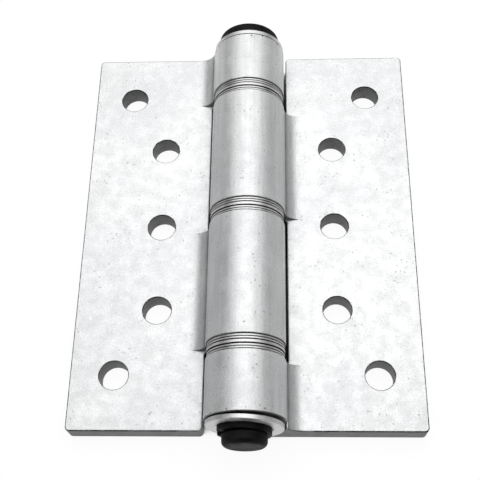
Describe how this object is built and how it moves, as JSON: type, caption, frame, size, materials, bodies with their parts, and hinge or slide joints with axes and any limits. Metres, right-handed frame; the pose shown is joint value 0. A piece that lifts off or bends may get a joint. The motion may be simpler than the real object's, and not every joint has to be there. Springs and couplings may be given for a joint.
{
  "type": "door hinge",
  "caption": "Heavy cast steel door hinge with interlocking knuckles, thrust ball bearings between them and a headed pin held by a screw and washers.",
  "frame": {"origin": "at mid-length of the leaves, straight under the barrel axis, in the plane of the leaves' backs", "axes": "+Y along the barrel towards the pin's head, +Z out of the leaves' fronts, +X across towards the leaf with knuckles 2 and 4"},
  "size_m": [0.12, 0.1613, 0.027],
  "materials": {
    "cast_steel": "pale shot-blasted casting with a machined barrel",
    "bright_steel": "bright turned steel",
    "black_steel": "black oxide",
    "bush_bronze": "sintered bronze"
  },
  "bodies": {
    "left_leaf": {"leaf_left": "cast_steel", "bush_1": "bush_bronze", "bush_3": "bush_bronze", "hinge_pin": "black_steel", "top_washer": "bright_steel", "end_washer": "bright_steel", "spring_washer": "black_steel", "end_screw": "black_steel", "bearing_1_upper_race": "bright_steel", "bearing_2_lower_race": "bright_steel", "bearing_3_upper_race": "bright_steel"},
    "right_leaf": {"leaf_right": "cast_steel", "bush_2": "bush_bronze", "bush_4": "bush_bronze", "bearing_1_lower_race": "bright_steel", "bearing_2_upper_race": "bright_steel", "bearing_3_lower_race": "bright_steel"},
    "cage_1": {"bearing_1_cage": "bright_steel", "bearing_1_balls": "bright_steel"},
    "cage_2": {"bearing_2_cage": "bright_steel", "bearing_2_balls": "bright_steel"},
    "cage_3": {"bearing_3_cage": "bright_steel", "bearing_3_balls": "bright_steel"}
  },
  "joints": [
    {"name": "leaf_fold", "type": "hinge", "parent": "left_leaf", "child": "right_leaf", "pos_m": [0, 0, 0.0135], "axis": [0, -1, 0], "range_deg": [-90, 180]},
    {"name": "cage_1_turn", "type": "hinge", "parent": "left_leaf", "child": "cage_1", "pos_m": [0, 0, 0.0135], "axis": [0, -1, 0], "range_deg": [-45, 90]},
    {"name": "cage_2_turn", "type": "hinge", "parent": "left_leaf", "child": "cage_2", "pos_m": [0, 0, 0.0135], "axis": [0, -1, 0], "range_deg": [-45, 90]},
    {"name": "cage_3_turn", "type": "hinge", "parent": "left_leaf", "child": "cage_3", "pos_m": [0, 0, 0.0135], "axis": [0, -1, 0], "range_deg": [-45, 90]}
  ],
  "couplings": [
    {"joint": "cage_1_turn", "follows": "leaf_fold", "ratio": 0.5},
    {"joint": "cage_2_turn", "follows": "leaf_fold", "ratio": 0.5},
    {"joint": "cage_3_turn", "follows": "leaf_fold", "ratio": 0.5}
  ]
}
